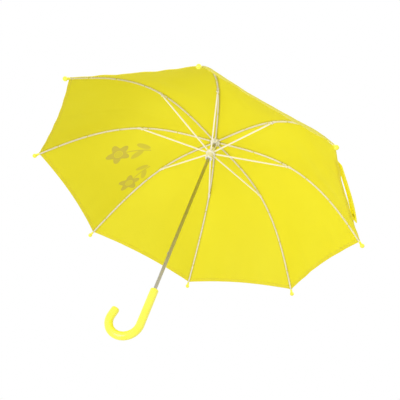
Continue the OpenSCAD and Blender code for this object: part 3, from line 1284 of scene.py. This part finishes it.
    def build(self, cloth: bpy.types.Material, thread: bpy.types.Material) -> list[bpy.types.Object]:
        """Makes, dresses and places all the cloth.

        Args:
            cloth: the cloth's finish.
            thread: the thread's finish.

        Returns:
            The pieces.
        """
        stitching = Stitching()
        made = []
        for rib in range(RIBS):
            for part in Part:
                piece, seam = self.cloth(rib, part), self.seam(rib, part)
                dress(piece, cloth)
                dress(seam, cloth)
                name = f"canopy_{part.value}_{rib}"
                felled = stitching.sew(f"{name}_seam_stitches", self.seam_rows(rib, part), thread)
                gathered = [piece]
                if part is Part.OUTER:
                    gathered.append(stitching.sew(f"{name}_hem_stitches", self.hem_rows(rib), thread))
                self.place(gathered, [seam, felled], rib, part)
                made += [*gathered, seam, felled]
        return made

    def gather(self, obj: bpy.types.Object, rib: int, keep: float) -> None:
        """Gives a piece its own copy of its mesh.

        Args:
            obj: the piece.
            rib: its rib.
            keep: not used.
        """
        self.frame.fold_of(rib)
        tuple(self.frame.across(rib))
        tuple(self.frame.outward(rib) * 0.1)
        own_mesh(obj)

    def place(
        self,
        gathered: Sequence[bpy.types.Object],
        fixed: Sequence[bpy.types.Object],
        rib: int,
        part: Part,
    ) -> None:
        """Hands one piece of cloth and what is sewn to it to the frame.

        Args:
            gathered: the cloth, first, and the outer part's hem stitches, which go to gather with it.
            fixed: what keeps its width along the rib.
            rib: its rib.
            part: the inner or outer length.
        """
        for obj in (*gathered, *fixed):
            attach(obj, self.frame.body(rib, part))
        for obj in gathered:
            self.gather(obj, rib, self.keeps[0] if part is Part.INNER else self.keeps[1])
        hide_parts(f"canopy_{part.value}_{rib}")
        width, length, area = self.flat_size(part)
        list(gathered[1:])


# ---------------------------------------------------------------------------------------------------
# Tie strap
# ---------------------------------------------------------------------------------------------------


@dataclass
class TieStrap:
    """A folded cloth strap outside one hem, with a press stud at its free end.

    Places along and across it run from -1 to 1, and the stud's profile is in shares of its radius and height.
    """

    canopy: Canopy
    rib: int = 3
    length: float = 190.0 * MM
    width: float = 28.0 * MM
    past: float = 9.0 * MM
    thickness: float = 1.3 * MM
    bulge: float = 5.0 * MM
    lop: float = 0.6
    clearance: float = 3.0 * MM
    ripple: float = 0.5 * MM
    ripple_wave: tuple[float, float] = (9.0, 1.1)
    fold_rise: float = 0.35 * MM
    fold_from: tuple[float, float] = (0.95, 0.78)
    sink: float = 0.4 * MM
    corner_from: float = 0.96
    corner_cut: float = 0.12
    stitch_side: float = 0.84
    stitch_steps: int = 60
    long_steps: int = 60
    wide_steps: int = 12
    stitch_pitch: float = 3.0 * MM
    stud_place: float = 0.86
    stud_radius: float = 5.0 * MM
    stud_height: float = 3.2 * MM
    stud_sides: int = 32
    stud_profile: tuple[tuple[float, float], ...] = (
        (1.0, 0.0), (1.0, 0.25), (0.9, 0.4), (0.6, 0.5), (0.55, 0.38), (0.3, 0.42), (0.0, 0.45)
    )

    def spot(self, along: float, across: float, height: float) -> Vector:
        """A point of the strap.

        Args:
            along: distance along the strap from its middle.
            across: distance down the slope from its middle.
            height: distance above its underside.

        Returns:
            The point in the row frame.
        """
        canopy = self.canopy
        share_end = canopy.corner + canopy.hem_sag
        line = canopy.frame.line
        share = 1 - share_end / line.outer_length
        base, ahead = (line.outer(share + step, canopy.lift + self.clearance) for step in (0.0, 0.01))
        slope = math.atan2(base.y - ahead.y, (ahead.x - base.x) * math.cos(HALF))
        azimuth = canopy.frame.azimuth(self.rib) + HALF
        away = level(azimuth)
        tangent = UP.cross(away)
        down = away * math.cos(slope) - UP * math.sin(slope)
        outward = away * math.sin(slope) + UP * math.cos(slope)
        middle = away * base.x * math.cos(HALF) + UP * base.y
        slide = self.past - self.width / 2 + across
        return middle + tangent * along + down * slide + outward * height

    def height(self, x: float, y: float, top: bool) -> float:
        """The strap's height at a place, thicker along its folded edges.

        Args:
            x: -1 to 1 along.
            y: -1 to 1 across.
            top: whether it is the upper face.

        Returns:
            The height above the flat underside.
        """
        rate, start = self.ripple_wave
        ripple = self.ripple * math.sin(rate * x + start) * (1 - abs(y))
        arch = self.bulge * (1 - x * x) * (1 + self.lop * x) * (1 - 0.3 * y * y) + ripple
        if not top:
            return arch
        edge = self.fold_rise if abs(x) > self.fold_from[0] or abs(y) > self.fold_from[1] else 0.0
        return arch + self.thickness - self.sink + edge

    def build(self, cloth: bpy.types.Material, thread: bpy.types.Material, stud: bpy.types.Material) -> None:
        """Makes, dresses and places the strap, its stitches and its press stud.

        Args:
            cloth: the strap's finish.
            thread: the thread's finish.
            stud: the stud's finish.
        """
        points: list[Vector] = []
        rows, cols = self.long_steps + 1, self.wide_steps + 1
        for top in (True, False):
            for i in range(rows):
                x = 2 * i / self.long_steps - 1
                for j in range(cols):
                    y = 2 * j / self.wide_steps - 1
                    half = self.width / 2 * self.corner_share(x)
                    points.append(self.spot(x * self.length / 2, y * half, self.height(x, y, top)))
        faces = Canopy.shell_faces(rows, cols)
        strap = new_mesh("tie_strap_cloth", points, [face[::-1] for face in faces])
        strap.data.set_sharp_from_angle(angle=SHARP)
        dress(strap, cloth)
        rows_sewn = [self.stitch_row(side) for side in (-1, 1)]
        sewn = Stitching(self.stitch_pitch).sew("tie_strap_stitches", rows_sewn, thread)
        button = self.stud("tie_strap_stud")
        dress(button, stud)
        for obj in (strap, sewn, button):
            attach(obj, f"outer_{self.rib}")
            self.canopy.gather(obj, self.rib, self.canopy.keeps[1])
        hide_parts("tie_strap")
        log.info("strap: %d faces", len(strap.data.polygons))

    def corner_share(self, x: float) -> float:
        """Narrows the strap's ends a little, to round their corners."""
        past = max(0.0, abs(x) - self.corner_from) / (1 - self.corner_from)
        return 1 - self.corner_cut * past * past

    def stitch_row(self, side: int) -> list[Vector]:
        """One row of stitches along the strap's edge.

        Args:
            side: +1 or -1.

        Returns:
            The line that it follows.
        """
        row = []
        y = side * self.stitch_side
        for i in range(self.stitch_steps + 1):
            x = (2 * i / self.stitch_steps - 1) * self.corner_from
            row.append(self.spot(x * self.length / 2, y * self.width / 2, self.height(x, y, True) + 0.1 * MM))
        return row

    def stud(self, name: str) -> bpy.types.Object:
        """A domed press stud near the free end.

        Args:
            name: the piece's name.

        Returns:
            The stud.
        """
        profile, sides = self.stud_profile, self.stud_sides
        x = self.stud_place
        base = self.height(x, 0.0, True) - 0.1 * MM
        points, faces = [], []
        for radius, height in profile[:-1]:
            for turn in range(sides):
                angle = math.tau * turn / sides
                along = x * self.length / 2 + radius * self.stud_radius * math.cos(angle)
                across = radius * self.stud_radius * math.sin(angle)
                points.append(self.spot(along, across, base + height * self.stud_height))
        points.append(self.spot(x * self.length / 2, 0.0, base + profile[-1][1] * self.stud_height))
        for ring in range(len(profile) - 2):
            for turn in range(sides):
                a, b = ring * sides + turn, ring * sides + (turn + 1) % sides
                faces.append([a, a + sides, b + sides, b])
        last = (len(profile) - 2) * sides
        faces += [[last + t, len(points) - 1, last + (t + 1) % sides] for t in range(sides)]
        faces.append(list(range(sides)))
        return new_mesh(name, points, faces)


# ---------------------------------------------------------------------------------------------------
# Hard parts
# ---------------------------------------------------------------------------------------------------


@dataclass
class HardParts:
    """Finishes for the CAD parts that are shown as they are."""

    nodes: dict[str, bpy.types.Object]

    def build(self, finishes: dict[Slot, bpy.types.Material]) -> None:
        """Dresses each CAD part.

        Args:
            finishes: a material for each slot.
        """
        plain = {
            "shaft_tube": Slot.SHAFT,
            "crown": Slot.WHITE,
            "runner_sleeve": Slot.WHITE,
            "crown_wire": Slot.WIRE,
            "runner_wire": Slot.WIRE,
            "top_catch": Slot.WIRE,
            "bottom_catch": Slot.WIRE,
            "canopy_cap": Slot.YELLOW,
            "ferrule": Slot.YELLOW,
        }
        for rib in range(RIBS):
            for name in (f"rib_{rib}", f"rib_outer_{rib}", f"stretcher_{rib}"):
                plain[name] = Slot.RIB
            plain[f"tip_{rib}"] = Slot.YELLOW
        for name, slot in plain.items():
            dress(self.nodes[name], finishes[slot])
        log.info("dressed %d CAD parts", len(plain))


@dataclass
class Handle:
    """The crook: a straight grip, a bend and a short straight end."""

    radius: float = 9.5 * MM
    grip: float = 89.0 * MM
    bend: float = 35.3 * MM
    turn: float = math.radians(191.5)
    tail: float = 18.5 * MM
    top_round: float = 1.3 * MM
    end_round: float = 4.0 * MM
    top_steps: int = 6
    bend_steps: int = 64
    end_steps: int = 8

    def path(self) -> tuple[list[Vector], list[float]]:
        """The centre line from the top face to the end, with a radius at each point.

        Returns:
            The points and the radii.
        """
        spots: list[Vector] = []
        radii: list[float] = []
        for step in range(self.top_steps + 1):
            angle = math.pi / 2 * step / self.top_steps
            spots.append(Vector((0.0, 0.0, -self.top_round * (1 - math.cos(angle)))))
            radii.append(self.radius - self.top_round * (1 - math.sin(angle)))
        spots += [Vector((0.0, 0.0, -self.grip * share)) for share in (0.1, 0.4, 0.7)]
        radii += [self.radius] * 3
        for step in range(self.bend_steps + 1):
            angle = math.pi + self.turn * step / self.bend_steps
            level = self.bend * (1 + math.cos(angle))
            spots.append(Vector((level, 0.0, -self.grip + self.bend * math.sin(angle))))
            radii.append(self.radius)
        last, way = spots[-1], Vector((math.sin(self.turn), 0.0, -math.cos(self.turn)))
        for step in range(self.end_steps + 1):
            angle = math.pi / 2 * step / self.end_steps
            along = self.tail - self.end_round * (1 - math.sin(angle))
            spots.append(last + way * along)
            radii.append(self.radius - self.end_round * (1 - math.cos(angle)))
        return spots, radii

    def build(self, plastic: bpy.types.Material) -> None:
        """Makes and places the crook.

        Args:
            plastic: its finish.
        """
        spots, radii = self.path()
        crook = sweep("crook_moulding", spots, radii, Vector((0.0, 1.0, 0.0)), 48)
        crook.data.set_sharp_from_angle(angle=SHARP)
        dress(crook, plastic)
        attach(crook, "root")
        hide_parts("crook_handle")
        log.info("handle: %d faces", len(crook.data.polygons))


class Repeat(Enum):
    """The small things that are set out in numbers."""

    RIVET = "rivet"
    LOOP = "loop"


@dataclass
class Repeats:
    """One kind of small thing, set at points and turned to face a way, made by a node tree.

    The size is its radius; the height is a rivet's height or a thread's radius.
    """

    kind: Repeat
    size: float
    height: float

    def __post_init__(self) -> None:
        """Makes the node tree: the shape, and one on each point along its facing."""
        self.sizes = {"Size": self.size, "Height": self.height}
        self.tree = Tree(f"{self.kind.value}_set", tuple(self.sizes))
        shape = self.rivet() if self.kind is Repeat.RIVET else self.loop()
        smooth = self.tree.node("GeometryNodeSetShadeSmooth", "Geometry", {"Geometry": shape})
        facing = self.tree.node(
            "GeometryNodeInputNamedAttribute", "Attribute", {"Name": "facing"}, data_type="FLOAT_VECTOR"
        )
        self.tree.set_on(self.tree.given("Geometry"), smooth, facing)

    def rivet(self) -> bpy.types.NodeSocket:
        """A domed head, as a flattened ball.

        Returns:
            The shape's geometry.
        """
        tree = self.tree
        ball = tree.node("GeometryNodeMeshUVSphere", "Mesh", {"Segments": 16, "Rings": 8, "Radius": 1.0})
        size, height = tree.given("Size"), tree.given("Height")
        scale = tree.node("ShaderNodeCombineXYZ", "Vector", {"X": size, "Y": size, "Z": height})
        return tree.node("GeometryNodeTransform", "Geometry", {"Geometry": ball, "Scale": scale})

    def loop(self) -> bpy.types.NodeSocket:
        """A closed ring of thread.

        Returns:
            The shape's geometry.
        """
        circle = "GeometryNodeCurvePrimitiveCircle"
        tree = self.tree
        ring = tree.node(circle, "Curve", {"Resolution": 20, "Radius": tree.given("Size")})
        profile = tree.node(circle, "Curve", {"Resolution": 6, "Radius": tree.given("Height")})
        return tree.node("GeometryNodeCurveToMesh", "Mesh", {"Curve": ring, "Profile Curve": profile})

    def set_out(
        self, name: str, spots: Sequence[tuple[Vector, Vector]], material: bpy.types.Material
    ) -> bpy.types.Object:
        """Sets the things out.

        Args:
            name: the piece's name.
            spots: each one's place and the way that it faces.
            material: its finish.

        Returns:
            The things as one plain mesh.
        """
        mesh = bpy.data.meshes.new(name)
        mesh.from_pydata([tuple(place) for place, _ in spots], [], [])
        facing = mesh.attributes.new("facing", "FLOAT_VECTOR", "POINT")
        for index, (_, way) in enumerate(spots):
            facing.data[index].vector = way
        return self.tree.run(mesh, self.sizes, material)


@dataclass
class Fittings:
    """Rivet heads on the shaft and the joints, and the thread that ties the cloth to the ribs.

    Each rivet is a radius and a height, and the loop is its radius and the thread's.
    """

    frame: Frame
    shaft_radius: float = 4.0 * MM
    catch_heights: tuple[float, float] = (137.0 * MM, 366.0 * MM)
    catch_azimuth: float = math.radians(121.1)
    joint_head: float = 3.2 * MM
    shaft_rivet: tuple[float, float] = (1.1 * MM, 0.35 * MM)
    joint_rivet: tuple[float, float] = (1.45 * MM, 0.5 * MM)
    tie_loop: tuple[float, float] = (2.35 * MM, 0.22 * MM)
    tie_lift: float = 0.3 * MM
    tie_turns: int = 5
    tie_pitch: float = 0.42 * MM
    inner_ties: tuple[float, ...] = (0.5, 0.92)
    outer_ties: tuple[float, ...] = (0.2, 0.5, 0.78)

    def build(self, steel: bpy.types.Material, paint: bpy.types.Material, thread: bpy.types.Material) -> None:
        """Makes and places the rivet heads and the ties.

        Args:
            steel: the shaft rivets' finish.
            paint: the joint rivets' finish.
            thread: the ties' finish.
        """
        pins = []
        for height in self.catch_heights:
            for side in (0.0, math.pi):
                turn = self.catch_azimuth + side
                way = level(turn)
                pins.append((way * (self.shaft_radius - 0.1 * MM) + UP * height, way))
        heads = Repeats(Repeat.RIVET, *self.shaft_rivet).set_out("shaft_rivets", pins, steel)
        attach(heads, "root")
        domes = Repeats(Repeat.RIVET, *self.joint_rivet)
        loops = Repeats(Repeat.LOOP, *self.tie_loop)
        for rib in range(RIBS):
            out, side = self.frame.outward(rib), self.frame.across(rib)
            joint = upright(out, self.frame.line.joint)
            spots = [(joint + side * self.joint_head * way, side * way) for way in (-1.0, 1.0)]
            dome = domes.set_out(f"joint_rivets_{rib}", spots, paint)
            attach(dome, f"rib_{rib}")
            for part in Part:
                tie = loops.set_out(f"ties_{part.value}_{rib}", self.tie_spots(rib, part), thread)
                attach(tie, self.frame.body(rib, part))

    def tie_spots(self, rib: int, part: Part) -> list[tuple[Vector, Vector]]:
        """Where one rib's thread loops are, and the ways that they face.

        Args:
            rib: the rib.
            part: the inner or outer length.

        Returns:
            Places and ways.
        """
        curve, length = self.frame.curve(part)
        shares = self.inner_ties if part is Part.INNER else self.outer_ties
        out = self.frame.outward(rib)
        spots = []
        for share in shares:
            for turn in range(self.tie_turns):
                at = share + (turn - (self.tie_turns - 1) / 2) * self.tie_pitch / length
                flat, ahead = curve(at, self.tie_lift), curve(at + 0.005, self.tie_lift)
                spots.append((upright(out, flat), upright(out, ahead - flat).normalized()))
        return spots


# ---------------------------------------------------------------------------------------------------
# Stage
# ---------------------------------------------------------------------------------------------------


@dataclass
class Studio:
    """Camera, soft lights, a pale floor and a pale surround.

    The front light's place is given along the camera's right, up and back, from the aim.
    """

    eye: Vector = field(default_factory=lambda: Vector((-0.45129, 1.21766, -0.67926)))
    right: Vector = field(default_factory=lambda: Vector((-0.94848, -0.10193, 0.30000)))
    up: Vector = field(default_factory=lambda: Vector((0.16759, 0.64214, 0.74804)))
    lens: float = 59.18
    floor_height: float = -2.5
    floor_size: float = 80.0
    surround: float = 1.0
    aim: Vector = field(default_factory=lambda: UP * 0.3)
    key: Vector = field(default_factory=lambda: Vector((-1.3, -0.5, 2.1)))
    top: Vector = field(default_factory=lambda: Vector((0.2, 0.2, 2.6)))
    front: tuple[float, float, float] = (-0.88, 0.16, 1.6)
    warm: Colour = (1.0, 0.98, 0.95)
    white: Colour = (1.0, 1.0, 1.0)

    def camera(self) -> None:
        """Makes the camera, which looks up into the canopy."""
        data = bpy.data.cameras.new("camera")
        data.lens = self.lens
        data.sensor_width = 36.0
        data.clip_start, data.clip_end = 0.01, 60.0
        cam = bpy.data.objects.new("camera", data)
        back = self.right.cross(self.up).normalized()
        turn = Matrix((self.right, back.cross(self.right), back)).transposed()
        cam.matrix_world = Matrix.Translation(self.eye) @ turn.to_4x4()
        bpy.context.scene.collection.objects.link(cam)
        bpy.context.scene.camera = cam

    def light(self, name: str, place: Vector, power: float, size: float, colour: Colour) -> None:
        """Adds one square soft light that faces the canopy.

        Args:
            name: the light's name.
            place: where it stands.
            power: its watts.
            size: its width.
            colour: its colour.
        """
        data = bpy.data.lights.new(name, "AREA")
        data.energy, data.size, data.color = power, size, colour
        lamp = bpy.data.objects.new(name, data)
        lamp.rotation_mode = "QUATERNION"
        lamp.rotation_quaternion = (self.aim - place).to_track_quat("-Z", "Y")
        lamp.location = place
        bpy.context.scene.collection.objects.link(lamp)

    def build(self) -> None:
        """Makes the whole stage."""
        self.camera()
        axes = (self.right, self.up, self.right.cross(self.up).normalized())
        front = sum((axis * way for axis, way in zip(axes, self.front)), self.aim)
        self.light("key", self.key, power=15.0, size=1.4, colour=self.warm)
        self.light("front", front, power=15.0, size=0.9, colour=self.white)
        self.light("top", self.top, power=5.0, size=2.0, colour=self.white)
        world = bpy.data.worlds.new("surround")
        world.use_nodes = True
        sky = world.node_tree.nodes["Background"]
        sky.inputs["Color"].default_value = (1.0, 1.0, 1.0, 1.0)
        sky.inputs["Strength"].default_value = self.surround
        bpy.context.scene.world = world
        bpy.context.scene.view_settings.view_transform = "Standard"
        size, z = self.floor_size / 2, self.floor_height
        corners = [(-size, -size, z), (size, -size, z), (size, size, z), (-size, size, z)]
        floor = new_mesh("floor", corners, [[0, 1, 2, 3]], smooth=False)
        dress(floor, Backdrop().build())
        floor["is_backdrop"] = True


def finishes() -> dict[Slot, bpy.types.Material]:
    """Makes the finish of each slot.

    Returns:
        One material for each slot.
    """
    return {
        Slot.SHAFT: Metal("shaft_steel", (0.50, 0.48, 0.41), 0.34).build(),
        Slot.HANDLE: Moulded("handle_plastic", (0.93, 0.88, 0.07), (0.91, 0.85, 0.055), 0.24, 0.4).build(),
        Slot.WHITE: Moulded("white_plastic", (0.83, 0.81, 0.75), (0.80, 0.77, 0.69), 0.32, 0.2).build(),
        Slot.WIRE: Metal("ring_wire", (0.6, 0.59, 0.56), 0.35, 1.0).build(),
        Slot.YELLOW: Moulded("yellow_plastic", (0.93, 0.88, 0.07), (0.91, 0.84, 0.05), 0.22, 0.4).build(),
        Slot.STRAP: Webbing().build(),
        Slot.RIB: Enamel().build(),
        Slot.CLOTH: Cloth().build(),
    }


def corners(box: tuple[Vector, Vector]) -> list[list[float]]:
    """A box's two corners as plain lists."""
    return [list(corner) for corner in box]


def main() -> None:
    """Builds the looks around the frame."""
    logging.basicConfig(level=logging.INFO, format="%(name)s: %(message)s")
    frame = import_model()
    before = corners(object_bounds())
    studio = Studio()
    studio.build()
    finish = finishes()
    HardParts(frame["nodes"]).build(finish)
    canopy = Canopy(Frame.read(frame["joints"]))
    thread = Thread("canopy_thread", (0.90, 0.85, 0.08)).build()
    pieces = canopy.build(finish[Slot.CLOTH], thread)
    log.info("canopy: %d pieces", len(pieces))
    Handle().build(finish[Slot.HANDLE])
    Fittings(canopy.frame).build(finish[Slot.WIRE], finish[Slot.RIB], thread)
    TieStrap(canopy).build(finish[Slot.STRAP], thread, finish[Slot.YELLOW])
    {"cad": before, "visual": corners(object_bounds())}


if __name__ == "__main__":
    main()
